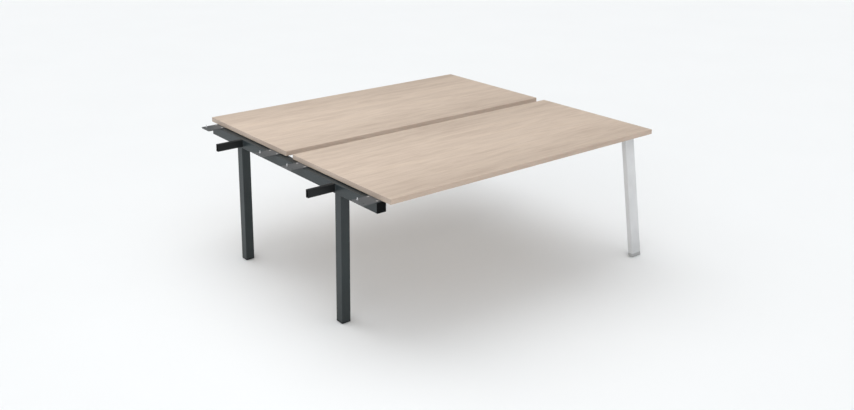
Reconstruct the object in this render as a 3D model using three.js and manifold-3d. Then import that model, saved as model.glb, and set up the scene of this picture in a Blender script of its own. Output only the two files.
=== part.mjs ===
// Benching desk for two: two facing worktops on a shared leg frame and a splayed end frame.
// Millimetres. X runs along the desk, Y from the front seat to the rear seat, Z up from the floor.
// The model is laid out with x = 0 at the left edge of the worktops and y = 0 midway between them.
// The whole group is then moved so that its origin is on the floor under the middle of the desk.

import * as THREE from 'three';
import { mergeVertices } from 'three/addons/utils/BufferGeometryUtils.js';
import Module from 'manifold-3d';

const wasm = await Module();
wasm.setup();

// Worktops
const TOP_LENGTH = 1800;
const TOP_DEPTH = 800;
const TOP_THICKNESS = 25;
const TOP_GAP = 60;
const TOP_HEIGHT = 740;
const TOP_CORNER_RADIUS = 3;
const TOP_EDGE_ROUND = 1.5;
const TOP_EDGE_STEPS = 2;

// Steel tube common to both frames
const TUBE_WALL = 2;
const TUBE_RADIUS = 3;

// Shared frame: a square crossbeam that can carry tops on both sides, on two square legs
const NEXT_TOP_GAP = 4;
const BEAM_WIDTH = 50;
const BEAM_HEIGHT = 50;
const BEAM_END_INSET = 60;
const LEG_WIDTH = 50;
const LEG_DEPTH = 50;
const LEG_INSET = 365;

// Rails under the tops, and the arms that carry the same line on past the shared frame
const RAIL_WIDTH = 20;
const RAIL_HEIGHT = 40;
const RAIL_LEG_OFFSET = 30;
const ARM_LENGTH = 150;
const SPACER_LENGTH = 80;
const SPACER_COUNT = 3;

// Connector bars that the left ends of the rails slide over
const CONNECTOR_LENGTH = 120;
const CONNECTOR_SCREW_INSET = 60;

// End frame: a crossbeam on two legs that lean in towards the middle
const END_INSET = 3;
const END_BEAM_WIDTH = 70;
const END_BEAM_HEIGHT = 40;
const END_BEAM_OVERHANG = 8;
const END_LEG_WIDTH = 70;
const END_LEG_DEPTH = 30;
const END_LEG_LEAN = 9.5;
const END_FOOT_INSET = 3;

// Plastic caps in the open tube ends
const BEAM_CAP_FLANGE = 4;
const BEAM_CAP_PLUG = 9;
const LEG_CAP_FLANGE = 4;
const LEG_CAP_PLUG = 25;
const END_LEG_CAP_FLANGE = 18;
const END_LEG_CAP_PLUG = 20;

// Levelling feet
const FOOT_RADIUS = 19;
const END_FOOT_RADIUS = 14;
const FOOT_THICKNESS = 2.8;
const FOOT_RIM = 1.2;
const FOOT_TAPER = 1.5;
const FOOT_POCKET_FLOOR = 1;
const STEM_RADIUS = 4;
const STEM_LENGTH = 44;
const STEM_TIP = 0.8;
const STEM_KEY_WIDTH = 4;
const STEM_KEY_DEPTH = 5;

// Brackets that carry the tops
const BRACKET_THICKNESS = 5;
const BRACKET_LENGTH = 200;
const BRACKET_WIDTH = 88;
const BRACKET_CORNER = 8;
const BRACKET_OUTER_INSET = 112;
const BRACKET_GAP_INSET = 100;
const BRACKET_HOLE_EDGE = 22;
const BRACKET_HOLE_SPACING = 48;
const END_BRACKET_LENGTH = 150;

// Countersunk bolts from the brackets into the shared crossbeam
const BOLT_RADIUS = 3;
const BOLT_HEAD_RADIUS = 6;
const BOLT_HEAD_DEPTH = 3.2;
const BOLT_LENGTH = 18;
const BOLT_SPACING = 68;
const BOLT_OFFSET = 12;
const BOLT_KEY_WIDTH = 4;
const BOLT_KEY_DEPTH = 2;

// Pan-head screws: from the brackets up into the tops, and through the rails into their connectors
const SCREW_RADIUS = 2.5;
const SCREW_HEAD_RADIUS = 5.5;
const SCREW_HEAD_HEIGHT = 3.6;
const SCREW_BITE = 16;
const SCREW_TIP = 1;
const SCREW_KEY_WIDTH = 4;
const SCREW_KEY_DEPTH = 2;

// Clearances
const FIT_GAP = 0.3;
const CUT_PAST = 1;

// Steps in each quarter of a tube corner, and round each screw, stem and foot
const CORNER_STEPS = 2;
const SCREW_SIDES = 12;
const FOOT_SIDES = 24;
const KEY_SIDES = 6;

// Finishes
const LAMINATE = { color: 0xd2c0ae, roughness: 0.5, metalness: 0 };
const ANTHRACITE = { color: 0x4c5052, roughness: 0.55, metalness: 0.2 };
const PALE_GREY = { color: 0xc9cacb, roughness: 0.5, metalness: 0.2 };
const BLACK_PLASTIC = { color: 0x17191a, roughness: 0.6, metalness: 0 };
const GREY_PLASTIC = { color: 0x77797a, roughness: 0.6, metalness: 0 };
const ZINC = { color: 0xc4c6c8, roughness: 0.35, metalness: 0.9 };

// Levels and places that follow from the sizes above
const halfDepth = TOP_DEPTH + TOP_GAP / 2;
const topUnderside = TOP_HEIGHT - TOP_THICKNESS;
const frameTop = topUnderside - BRACKET_THICKNESS;
const beamX = -NEXT_TOP_GAP / 2;
const beamLeft = beamX - BEAM_WIDTH / 2;
const beamRight = beamX + BEAM_WIDTH / 2;
const beamBottom = frameTop - BEAM_HEIGHT;
const beamHalfLength = halfDepth - BEAM_END_INSET - BEAM_CAP_FLANGE;
const legX = beamLeft + LEG_WIDTH / 2;
const legY = halfDepth - LEG_INSET;
const railY = legY - RAIL_LEG_OFFSET;
const railZ = frameTop - RAIL_HEIGHT / 2;
const railBottom = frameTop - RAIL_HEIGHT;
const armEnd = beamLeft - ARM_LENGTH;
const capBottom = FOOT_THICKNESS + FIT_GAP;
const legBottom = capBottom + LEG_CAP_FLANGE;
const leanTan = Math.tan(THREE.MathUtils.degToRad(END_LEG_LEAN));
const leanCos = Math.cos(THREE.MathUtils.degToRad(END_LEG_LEAN));
const endX = TOP_LENGTH - END_INSET - END_BEAM_WIDTH / 2;
const endBeamLeft = endX - END_BEAM_WIDTH / 2;
const endBeamBottom = frameTop - END_BEAM_HEIGHT;
const endLegSpan = END_LEG_DEPTH / leanCos;
const endLegFootY = halfDepth - END_FOOT_INSET - endLegSpan / 2;
const endLegBottom = capBottom + END_LEG_CAP_FLANGE;
const endLegTop = endBeamBottom - FIT_GAP;
const endLegY = (z) => endLegFootY - (z - capBottom) * leanTan;
const endBeamHalfLength = endLegY(endLegTop) + endLegSpan / 2 + END_BEAM_OVERHANG;
const originX = (armEnd + TOP_LENGTH) / 2;

const SIDES = [{ name: 'front', sign: -1 }, { name: 'rear', sign: 1 }];
const ALONG_X = new THREE.Matrix4().makeBasis(
  new THREE.Vector3(0, 1, 0), new THREE.Vector3(0, 0, 1), new THREE.Vector3(1, 0, 0));
const ALONG_Y = new THREE.Matrix4().makeBasis(
  new THREE.Vector3(1, 0, 0), new THREE.Vector3(0, 0, 1), new THREE.Vector3(0, -1, 0));
const ALONG_Z = new THREE.Matrix4();

const desk = new THREE.Group();
const layout = new THREE.Group();
layout.position.x = -originX;
desk.add(layout);

function addPart(name, geometry, finish) {
  const mesh = new THREE.Mesh(geometry, new THREE.MeshStandardMaterial(finish));
  mesh.name = name;
  layout.add(mesh);
}

// Booleans on closed meshes
function toSolid(geometry) {
  const bare = geometry.clone();
  bare.deleteAttribute('normal');
  bare.deleteAttribute('uv');
  const merged = mergeVertices(bare);
  const vertProperties = new Float32Array(merged.attributes.position.array);
  const triVerts = new Uint32Array(merged.index.array);
  return new wasm.Manifold(new wasm.Mesh({ numProp: 3, vertProperties, triVerts }));
}

function toGeometry(solid) {
  const mesh = solid.getMesh();
  const geometry = new THREE.BufferGeometry();
  geometry.setAttribute('position', new THREE.BufferAttribute(mesh.vertProperties, 3));
  geometry.setIndex(new THREE.BufferAttribute(mesh.triVerts, 1));
  geometry.computeVertexNormals();
  return geometry;
}

function cut(geometry, cutters) {
  return toGeometry(cutters.reduce((solid, cutter) => solid.subtract(toSolid(cutter)), toSolid(geometry)));
}

function join(geometry, others) {
  return toGeometry(others.reduce((solid, other) => solid.add(toSolid(other)), toSolid(geometry)));
}

// A rectangle with rounded corners, centred on the origin
function traceRoundedRect(path, width, height, radius) {
  const x = width / 2 - radius;
  const y = height / 2 - radius;
  const quarter = Math.PI / 2;
  path.moveTo(x + radius, -y);
  path.absarc(x, y, radius, 0, quarter, false);
  path.absarc(-x, y, radius, quarter, 2 * quarter, false);
  path.absarc(-x, -y, radius, 2 * quarter, 3 * quarter, false);
  path.absarc(x, -y, radius, 3 * quarter, 4 * quarter, false);
  return path;
}

const roundedRect = (width, height, radius) => traceRoundedRect(new THREE.Shape(), width, height, radius);

function tubeSection(width, height) {
  const shape = roundedRect(width, height, TUBE_RADIUS);
  const innerRadius = TUBE_RADIUS - TUBE_WALL / 2;
  const inner = new THREE.Path();
  traceRoundedRect(inner, width - 2 * TUBE_WALL, height - 2 * TUBE_WALL, innerRadius);
  shape.holes.push(inner);
  return shape;
}

function plugSection(width, height) {
  const slack = 2 * (TUBE_WALL + FIT_GAP);
  return roundedRect(width - slack, height - slack, TUBE_RADIUS - TUBE_WALL / 2);
}

// A straight bar of the given section, turned to its direction, from one end point
function bar(section, length, direction, x, y, z) {
  const options = { depth: length, bevelEnabled: false, curveSegments: CORNER_STEPS };
  const geometry = new THREE.ExtrudeGeometry(section, options);
  geometry.applyMatrix4(direction);
  geometry.translate(x, y, z);
  return geometry;
}

// A turned piece standing on the given point
function turned(profile, sides, x, y, z) {
  const points = profile.map(([radius, height]) => new THREE.Vector2(radius, height));
  const geometry = new THREE.LatheGeometry(points, sides);
  geometry.rotateX(Math.PI / 2);
  geometry.translate(x, y, z);
  return geometry;
}

// A round or hexagonal pin between two levels
function pin(radius, sides, bottom, top, x, y) {
  const geometry = new THREE.CylinderGeometry(radius, radius, top - bottom, sides);
  geometry.rotateX(Math.PI / 2);
  geometry.translate(x, y, (bottom + top) / 2);
  return geometry;
}

const hexRadius = (width) => width / 2 / Math.cos(Math.PI / KEY_SIDES);

// Lean a piece that stands on the floor towards the middle of the desk, about its lower edge
function lean(geometry, sign, pivotZ) {
  const shear = -sign * leanTan;
  geometry.translate(0, 0, -pivotZ);
  geometry.applyMatrix4(new THREE.Matrix4().makeShear(0, 0, 0, 0, 0, shear));
  geometry.translate(0, 0, pivotZ);
  return geometry;
}

// Where the brackets stand across the desk
const bracketPlaces = SIDES.flatMap(({ name, sign }) => [
  { name: `${name}_outer`, y: sign * (halfDepth - BRACKET_OUTER_INSET) },
  { name: `${name}_inner`, y: sign * (TOP_GAP / 2 + BRACKET_GAP_INSET) },
]);
const bracketHoleX = BRACKET_LENGTH / 2 - BRACKET_HOLE_EDGE;
const endBracketLeft = TOP_LENGTH - END_INSET - END_BRACKET_LENGTH;
const endBracketScrewX = endBracketLeft + BRACKET_HOLE_EDGE;
const pairOffsets = (spacing) => [-spacing / 2, spacing / 2];
const topScrews = bracketPlaces.flatMap(({ name, y }) => [
  { name: `top_screw_${name}_1`, x: beamX + bracketHoleX, y: y - BRACKET_HOLE_SPACING / 2 },
  { name: `top_screw_${name}_2`, x: beamX + bracketHoleX, y: y + BRACKET_HOLE_SPACING / 2 },
  { name: `end_top_screw_${name}`, x: endBracketScrewX, y },
]);
const bolts = bracketPlaces.flatMap(({ name, y }) => pairOffsets(BOLT_SPACING).map((offset, index) => (
  { name: `bracket_bolt_${name}_${index + 1}`, x: beamX - BOLT_OFFSET, y: y + offset })));

// Screws and bolts
function panScrew(headTop, tip, x, y) {
  const headBottom = headTop - SCREW_HEAD_HEIGHT;
  const height = (level) => level - headBottom;
  const profile = [
    [0, 0],
    [SCREW_HEAD_RADIUS - SCREW_TIP, 0],
    [SCREW_HEAD_RADIUS, height(headTop) / 2],
    [SCREW_HEAD_RADIUS, height(headTop)],
    [SCREW_RADIUS, height(headTop)],
    [SCREW_RADIUS, height(tip) - SCREW_TIP],
    [SCREW_RADIUS - SCREW_TIP, height(tip)],
    [0, height(tip)],
  ];
  const body = turned(profile, SCREW_SIDES, x, y, headBottom);
  const keyTop = headBottom + SCREW_KEY_DEPTH;
  return cut(body, [pin(hexRadius(SCREW_KEY_WIDTH), KEY_SIDES, headBottom - CUT_PAST, keyTop, x, y)]);
}

function countersunkBolt(top, x, y) {
  const profile = [
    [0, -BOLT_LENGTH],
    [BOLT_RADIUS, -BOLT_LENGTH],
    [BOLT_RADIUS, -BOLT_HEAD_DEPTH],
    [BOLT_HEAD_RADIUS, 0],
    [0, 0],
  ];
  const body = turned(profile, SCREW_SIDES, x, y, top);
  return cut(body, [pin(hexRadius(BOLT_KEY_WIDTH), KEY_SIDES, top - BOLT_KEY_DEPTH, top + CUT_PAST, x, y)]);
}

function countersink(top, bottom, x, y) {
  const slope = (BOLT_HEAD_RADIUS - BOLT_RADIUS) / BOLT_HEAD_DEPTH;
  const profile = [
    [0, bottom - top - CUT_PAST],
    [BOLT_RADIUS + FIT_GAP, bottom - top - CUT_PAST],
    [BOLT_RADIUS + FIT_GAP, -BOLT_HEAD_DEPTH],
    [BOLT_HEAD_RADIUS + FIT_GAP, 0],
    [BOLT_HEAD_RADIUS + FIT_GAP + slope * CUT_PAST, CUT_PAST],
    [0, CUT_PAST],
  ];
  return turned(profile, SCREW_SIDES, x, y, top);
}

// Worktops, drilled from below for their screws
function worktop(sign) {
  const outline = roundedRect(TOP_LENGTH, TOP_DEPTH, TOP_CORNER_RADIUS);
  const board = new THREE.ExtrudeGeometry(outline, {
    depth: TOP_THICKNESS - 2 * TOP_EDGE_ROUND,
    bevelEnabled: true,
    bevelThickness: TOP_EDGE_ROUND,
    bevelSize: TOP_EDGE_ROUND,
    bevelOffset: -TOP_EDGE_ROUND,
    bevelSegments: TOP_EDGE_STEPS,
    curveSegments: CORNER_STEPS,
  });
  board.translate(TOP_LENGTH / 2, sign * (TOP_GAP + TOP_DEPTH) / 2, topUnderside + TOP_EDGE_ROUND);
  const holes = topScrews.filter(({ y }) => Math.sign(y) === sign).map(({ x, y }) => {
    const bottom = topUnderside - CUT_PAST;
    return pin(SCREW_RADIUS + FIT_GAP, SCREW_SIDES, bottom, topUnderside + SCREW_BITE + FIT_GAP, x, y);
  });
  return cut(board, holes);
}

SIDES.forEach(({ name, sign }) => addPart(`desktop_${name}`, worktop(sign), LAMINATE));

// Shared crossbeam, drilled for the bracket bolts, and its end caps
const beamTube = bar(tubeSection(BEAM_WIDTH, BEAM_HEIGHT), 2 * beamHalfLength, ALONG_Y,
  beamX, beamHalfLength, frameTop - BEAM_HEIGHT / 2);
const beamHoles = bolts.map(({ x, y }) => (
  pin(BOLT_RADIUS + FIT_GAP, SCREW_SIDES, frameTop - TUBE_WALL - CUT_PAST, frameTop + CUT_PAST, x, y)));
addPart('shared_crossbeam', cut(beamTube, beamHoles), ANTHRACITE);

function beamCap(sign, halfLength, width, height, x, z) {
  const flangeEnd = sign > 0 ? halfLength + BEAM_CAP_FLANGE : -halfLength;
  const plugEnd = sign > 0 ? halfLength + BEAM_CAP_FLANGE / 2 : BEAM_CAP_PLUG - halfLength;
  const flange = bar(roundedRect(width, height, TUBE_RADIUS), BEAM_CAP_FLANGE, ALONG_Y, x, flangeEnd, z);
  const plugLength = BEAM_CAP_PLUG + BEAM_CAP_FLANGE / 2;
  const plug = bar(plugSection(width, height), plugLength, ALONG_Y, x, plugEnd, z);
  return join(flange, [plug]);
}

SIDES.forEach(({ name, sign }) => {
  const z = frameTop - BEAM_HEIGHT / 2;
  const cap = beamCap(sign, beamHalfLength, BEAM_WIDTH, BEAM_HEIGHT, beamX, z);
  addPart(`crossbeam_cap_${name}`, cap, BLACK_PLASTIC);
});

// Shared legs
SIDES.forEach(({ name, sign }) => {
  const section = tubeSection(LEG_WIDTH, LEG_DEPTH);
  const leg = bar(section, beamBottom - legBottom, ALONG_Z, legX, sign * legY, legBottom);
  addPart(`shared_leg_${name}`, leg, ANTHRACITE);
});

// Link arms, open at their left ends
SIDES.forEach(({ name, sign }) => {
  const arm = bar(tubeSection(RAIL_WIDTH, RAIL_HEIGHT), ARM_LENGTH, ALONG_X, armEnd, sign * railY, railZ);
  addPart(`link_arm_${name}`, arm, ANTHRACITE);
});

// Leg caps, bored for the foot stems
function legCap(section, inner, flange, plug, x, y, stemY, leanSign) {
  const base = bar(section, flange, ALONG_Z, x, y, capBottom);
  const insert = bar(inner, flange / 2 + plug, ALONG_Z, x, y, capBottom + flange / 2);
  const pieces = [base, insert].map((piece) => lean(piece, leanSign, capBottom));
  const top = capBottom + flange + plug;
  const bore = pin(STEM_RADIUS + FIT_GAP, SCREW_SIDES, capBottom - CUT_PAST, top + CUT_PAST, x, stemY);
  return cut(join(pieces[0], [pieces[1]]), [bore]);
}

SIDES.forEach(({ name, sign }) => {
  const y = sign * legY;
  const section = roundedRect(LEG_WIDTH, LEG_DEPTH, TUBE_RADIUS);
  const inner = plugSection(LEG_WIDTH, LEG_DEPTH);
  const cap = legCap(section, inner, LEG_CAP_FLANGE, LEG_CAP_PLUG, legX, y, y, 0);
  addPart(`leg_cap_${name}`, cap, BLACK_PLASTIC);
});

// Levelling feet and the stems that turn in them
function footPad(radius, x, y) {
  const pocket = STEM_RADIUS + FIT_GAP;
  const profile = [
    [0, 0],
    [radius, 0],
    [radius, FOOT_RIM],
    [radius - FOOT_TAPER, FOOT_THICKNESS],
    [pocket, FOOT_THICKNESS],
    [pocket, FOOT_POCKET_FLOOR],
    [0, FOOT_POCKET_FLOOR],
  ];
  return turned(profile, FOOT_SIDES, x, y, 0);
}

function footStem(x, y) {
  const bottom = FOOT_POCKET_FLOOR + FIT_GAP;
  const profile = [
    [0, 0],
    [STEM_RADIUS, 0],
    [STEM_RADIUS, STEM_LENGTH - STEM_TIP],
    [STEM_RADIUS - STEM_TIP, STEM_LENGTH],
    [0, STEM_LENGTH],
  ];
  const body = turned(profile, SCREW_SIDES, x, y, bottom);
  const top = bottom + STEM_LENGTH;
  return cut(body, [pin(hexRadius(STEM_KEY_WIDTH), KEY_SIDES, top - STEM_KEY_DEPTH, top + CUT_PAST, x, y)]);
}

SIDES.forEach(({ name, sign }) => {
  addPart(`foot_stem_${name}`, footStem(legX, sign * legY), ZINC);
  addPart(`levelling_foot_${name}`, footPad(FOOT_RADIUS, legX, sign * legY), BLACK_PLASTIC);
});

// End crossbeam and its caps
const endBeamZ = frameTop - END_BEAM_HEIGHT / 2;
const endBeamSection = tubeSection(END_BEAM_WIDTH, END_BEAM_HEIGHT);
addPart('end_crossbeam', bar(endBeamSection, 2 * endBeamHalfLength, ALONG_Y, endX, endBeamHalfLength, endBeamZ),
  PALE_GREY);

SIDES.forEach(({ name, sign }) => {
  const cap = beamCap(sign, endBeamHalfLength, END_BEAM_WIDTH, END_BEAM_HEIGHT, endX, endBeamZ);
  addPart(`end_crossbeam_cap_${name}`, cap, GREY_PLASTIC);
});

// Splayed end legs with their caps and feet
SIDES.forEach(({ name, sign }) => {
  const section = tubeSection(END_LEG_WIDTH, endLegSpan);
  const footY = sign * endLegFootY;
  const leg = bar(section, endLegTop - endLegBottom, ALONG_Z, endX, footY, endLegBottom);
  addPart(`end_leg_${name}`, lean(leg, sign, capBottom), PALE_GREY);

  const stemY = sign * endLegY(endLegBottom);
  const flangeSection = roundedRect(END_LEG_WIDTH, endLegSpan, TUBE_RADIUS);
  const inner = plugSection(END_LEG_WIDTH, endLegSpan);
  const cap = legCap(flangeSection, inner, END_LEG_CAP_FLANGE - FIT_GAP, END_LEG_CAP_PLUG,
    endX, footY, stemY, sign);
  addPart(`end_leg_cap_${name}`, cap, GREY_PLASTIC);
  addPart(`end_foot_stem_${name}`, footStem(endX, stemY), ZINC);
  addPart(`end_levelling_foot_${name}`, footPad(END_FOOT_RADIUS, endX, stemY), GREY_PLASTIC);
});

// Rails with spacer strips up to the tops, their connector bars and locking screws
const railLength = endBeamLeft - beamRight;
const connectorScrewX = beamRight + CONNECTOR_SCREW_INSET;
const connectorTop = frameTop - TUBE_WALL - FIT_GAP;
const screwHole = (bottom, top, x, y) => pin(SCREW_RADIUS + FIT_GAP, SCREW_SIDES, bottom, top, x, y);

function rail(y) {
  const tube = bar(tubeSection(RAIL_WIDTH, RAIL_HEIGHT), railLength, ALONG_X, beamRight, y, railZ);
  const stripWidth = RAIL_WIDTH - 2 * TUBE_RADIUS;
  const strips = Array.from({ length: SPACER_COUNT }, (_, index) => {
    const strip = new THREE.BoxGeometry(SPACER_LENGTH, stripWidth, BRACKET_THICKNESS + TUBE_WALL / 2);
    const x = beamRight + railLength * (index + 1) / (SPACER_COUNT + 1);
    strip.translate(x, y, topUnderside - (BRACKET_THICKNESS + TUBE_WALL / 2) / 2);
    return strip;
  });
  const hole = screwHole(railBottom - CUT_PAST, railBottom + TUBE_WALL + CUT_PAST, connectorScrewX, y);
  return cut(join(tube, strips), [hole]);
}

SIDES.forEach(({ name, sign }) => {
  const y = sign * railY;
  addPart(`rail_${name}`, rail(y), ANTHRACITE);

  const block = bar(plugSection(RAIL_WIDTH, RAIL_HEIGHT), CONNECTOR_LENGTH, ALONG_X, beamRight, y, railZ);
  const bore = screwHole(railBottom, frameTop, connectorScrewX, y);
  addPart(`rail_connector_${name}`, cut(block, [bore]), ZINC);
  addPart(`connector_screw_${name}`, panScrew(railBottom, connectorTop, connectorScrewX, y), ZINC);
});

// Brackets across the shared crossbeam, with open holes left of it
function sharedBracket(y) {
  const plate = bar(roundedRect(BRACKET_LENGTH, BRACKET_WIDTH, BRACKET_CORNER), BRACKET_THICKNESS, ALONG_Z,
    beamX, y, frameTop);
  const bottom = frameTop - CUT_PAST;
  const top = topUnderside + CUT_PAST;
  const holes = [-bracketHoleX, bracketHoleX].flatMap((x) => pairOffsets(BRACKET_HOLE_SPACING)
    .map((offset) => screwHole(bottom, top, beamX + x, y + offset)));
  const sinks = pairOffsets(BOLT_SPACING)
    .map((offset) => countersink(topUnderside, frameTop, beamX - BOLT_OFFSET, y + offset));
  return cut(plate, [...holes, ...sinks]);
}

function endBracket(y) {
  const plate = bar(roundedRect(END_BRACKET_LENGTH, BRACKET_WIDTH, BRACKET_CORNER), BRACKET_THICKNESS, ALONG_Z,
    endBracketLeft + END_BRACKET_LENGTH / 2, y, frameTop);
  return cut(plate, [screwHole(frameTop - CUT_PAST, topUnderside + CUT_PAST, endBracketScrewX, y)]);
}

bracketPlaces.forEach(({ name, y }) => {
  addPart(`top_bracket_${name}`, sharedBracket(y), ANTHRACITE);
  addPart(`end_bracket_${name}`, endBracket(y), PALE_GREY);
});
bolts.forEach(({ name, x, y }) => addPart(name, countersunkBolt(topUnderside, x, y), ZINC));
topScrews.forEach(({ name, x, y }) => addPart(name, panScrew(frameTop, topUnderside + SCREW_BITE, x, y), ZINC));

export default desk;
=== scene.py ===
import math
from collections import namedtuple

import bmesh
import bpy
from mathutils import Matrix, Vector


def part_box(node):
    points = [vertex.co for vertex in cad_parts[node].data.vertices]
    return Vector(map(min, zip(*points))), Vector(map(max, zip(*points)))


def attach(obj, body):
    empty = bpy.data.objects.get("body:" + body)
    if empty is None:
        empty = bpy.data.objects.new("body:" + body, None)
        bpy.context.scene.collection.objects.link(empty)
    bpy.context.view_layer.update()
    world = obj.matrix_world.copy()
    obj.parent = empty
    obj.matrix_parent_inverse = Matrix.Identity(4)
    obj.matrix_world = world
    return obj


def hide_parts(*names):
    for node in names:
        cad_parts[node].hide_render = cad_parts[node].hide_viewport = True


# A benching desk for two: laminate worktops on a shared leg frame and a splayed end frame.
# Metres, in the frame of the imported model: X along the desk, Y from front to rear, Z up.

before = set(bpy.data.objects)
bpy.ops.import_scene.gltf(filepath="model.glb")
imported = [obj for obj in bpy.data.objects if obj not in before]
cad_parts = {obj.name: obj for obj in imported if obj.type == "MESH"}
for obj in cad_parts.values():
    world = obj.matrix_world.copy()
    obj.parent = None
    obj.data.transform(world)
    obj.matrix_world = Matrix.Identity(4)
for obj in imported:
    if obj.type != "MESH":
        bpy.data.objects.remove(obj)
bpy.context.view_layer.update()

MM = 0.001
TURN = 2 * math.pi
HEX_SIDES = 6
X, Y, Z = 0, 1, 2
DESK = "desk"

# The sides of the desk with their directions along Y, and the places of the brackets
SIDES = {"front": -1, "rear": 1}
PLACES = ("front_outer", "front_inner", "rear_inner", "rear_outer")

# Directions
DOWN = Vector((0, 0, -1))
LEFT = Vector((-1, 0, 0))

# Steel tube
TUBE_WALL = 2 * MM
TUBE_RADIUS = 3 * MM
TUBE_END_BREAK = 0.25 * MM
PLUG_GAP = 0.3 * MM

# Worktops and their edge bands
TOP_CORNER_RADIUS = 3 * MM
BAND_THICKNESS = 2 * MM
BAND_ROUND = 1.5 * MM
BAND_SEAM = 0.18 * MM
BAND_SEAM_DEPTH = 0.25 * MM

# End frame
END_LEG_LEAN = math.radians(9.5)

# Spacer strips on the rails, whose corner radius is a share of their width
SPACER_COUNT = 3
SPACER_LENGTH = 80 * MM
SPACER_BREAK = 0.8 * MM
SPACER_CORNER_SHARE = 0.25

# Caps in the beam ends, with the insets and depths of their crowned outer face
CAP_FLANGE = 4 * MM
CAP_ROUND = 1.1 * MM
CAP_FACE = ((7 * MM, 0), (1.65 * MM, 0.21 * MM), (0.55 * MM, 0.56 * MM), (0, 1.45 * MM))

# Caps in the leg ends, bored for the stems of the feet
LEG_CAP_ROUND = 0.9 * MM
STEM_RADIUS = 4 * MM
BORE_RADIUS = STEM_RADIUS + PLUG_GAP
BORE_LEAD = 0.8 * MM

# Threaded stems
STEM_PITCH = 1.25 * MM
STEM_THREAD_DEPTH = 0.65 * MM
STEM_TIP = 0.8 * MM
STEM_END_BREAK = 0.2 * MM
STEM_KEY_WIDTH = 4 * MM
STEM_KEY_DEPTH = 5 * MM

# Levelling feet
FOOT_ROUND = 0.5 * MM
FOOT_RIM = 1.2 * MM
FOOT_TAPER = 1.5 * MM
FOOT_SHOULDER = 0.2 * MM
FOOT_POCKET_FLOOR = 1 * MM

# Brackets, whose rims turn by more than the rim angle and are broken with a round profile
BRACKET_CORNER = 8 * MM
BRACKET_HOLE_RADIUS = 2.8 * MM
BRACKET_HOLE_EDGE = 22 * MM
BRACKET_HOLE_SPACING = 48 * MM
BRACKET_BREAK = 0.5 * MM
BRACKET_RIM_ANGLE = math.radians(60)
BREAK_SEGMENTS = 2
ROUND_PROFILE = 0.5
BOLT_SEAT_RADIUS = 6.2 * MM
BOLT_SPACING = 68 * MM
BOLT_OFFSET = 12 * MM

# Countersunk bolts
BOLT_HEAD_DEPTH = 3.2 * MM
BOLT_SHANK_RADIUS = 3 * MM
BOLT_TIP = 0.6 * MM
BOLT_KEY_WIDTH = 4 * MM
BOLT_KEY_DEPTH = 2 * MM
HEAD_BREAK = 0.3 * MM

# Pan-head screws, whose domed head is given in shares of its radius and height
SCREW_SHANK_RADIUS = 2.5 * MM
SCREW_HEAD_HEIGHT = 3.6 * MM
SCREW_DOME = ((0.62, 0), (0.82, 0.12), (0.94, 0.32), (1, 0.6), (1, 1))
SCREW_TIP = 1 * MM
SCREW_KEY_WIDTH = 4 * MM
SCREW_KEY_DEPTH = 2 * MM

# Link studs that stand in the free bracket holes
STUD_RADIUS = 2.6 * MM
STUD_PITCH = 0.8 * MM
STUD_THREAD_DEPTH = 0.4 * MM
STUD_BELOW = 7 * MM
STUD_ABOVE = 13 * MM
NUT_WIDTH = 9 * MM
NUT_HEIGHT = 4 * MM
NUT_CHAMFER = 0.54 * MM

# Welds, whose ripple and end size are shares of the radius
WELD_RADIUS = 2.2 * MM
WELD_SET_BACK = 0.5 * MM
WELD_FLUSH_RISE = 0.4 * MM
WELD_RIPPLE = 0.10
WELD_PITCH = 2.4 * MM
WELD_STEP = 0.6 * MM
WELD_END_SHARE = 0.35
WELD_END_STEPS = 5

# How finely round shapes are divided
CORNER_STEPS = 6
BAND_ROUND_STEPS = 4
ROUND_STEPS = 36
FOOT_STEPS = 72
THREAD_ROWS = 8
WELD_SIDES = 10

# The least radius of a rounded outline
LEAST_RADIUS = 0.1 * MM

# How far the middle of a rounded edge lies in from its corner, as a share of its radius
ROUND_MIDDLE = 0.3

# Shading: edges sharper than these stay hard, and large flat faces set the normals
SHARP_EDGE = math.radians(35)
SHARP_WELD_EDGE = math.radians(60)
FLAT_FACE_WEIGHT = 100

# Floor
FLOOR_SIZE = 60
FLOOR_DROP = 0.05 * MM
FLOOR_SEGMENTS = 8

# Softbox over the desk, and two broad lights from far away
KEY_PLACE = (-0.9, 0.2, 1.9)
KEY_TARGET = (-0.6, 0.1, 0.74)
KEY_SIZE = 1.3
KEY_POWER = 3.6
SKYLIGHT_FROM = (0.12, 0.38, 0.91)
SKYLIGHT_SPREAD = math.radians(62)
SKYLIGHT_STRENGTH = 1.03
FILL_FROM = (-0.88, -0.46, 0.10)
FILL_SPREAD = math.radians(50)
FILL_STRENGTH = 1.2

# The studio is a pale dome with one dark flag behind the desk, which steel and laminate mirror
SKY_LEVEL = 0.88
BACKDROP_LEVEL = 0.93
FLAG_LEVEL = 0.03
FLAG_BEARING = math.radians(40)
FLAG_ELEVATION = math.radians(22)
FLAG_CORE = math.radians(26)
FLAG_EDGE = math.radians(40)

# Camera, from a fit to the photograph
CAMERA_PLACE = (-3.194, -3.895, 2.203)
CAMERA_YAW = math.radians(36.91)
CAMERA_PITCH = math.radians(16.86)
CAMERA_LENS = 40.10
CAMERA_SHIFT = (0.06, -0.08)


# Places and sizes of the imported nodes

def size_of(node):
    low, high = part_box(node)
    return high - low


def centre_of(node):
    low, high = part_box(node)
    return (low + high) / 2


def standing_on(node):
    """Carries what stands on z = 0 to the middle of a node's underside."""
    middle = centre_of(node)
    return Matrix.Translation((middle.x, middle.y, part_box(node)[0].z))


frame_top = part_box("shared_crossbeam")[1].z
top_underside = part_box("desktop_front")[0].z
board_spacing = centre_of("desktop_rear").y - centre_of("desktop_front").y
rail_width = size_of("link_arm_front").y
rail_height = size_of("link_arm_front").z


# Outlines: lists of points in a section's own plane, all running the same way round

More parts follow.
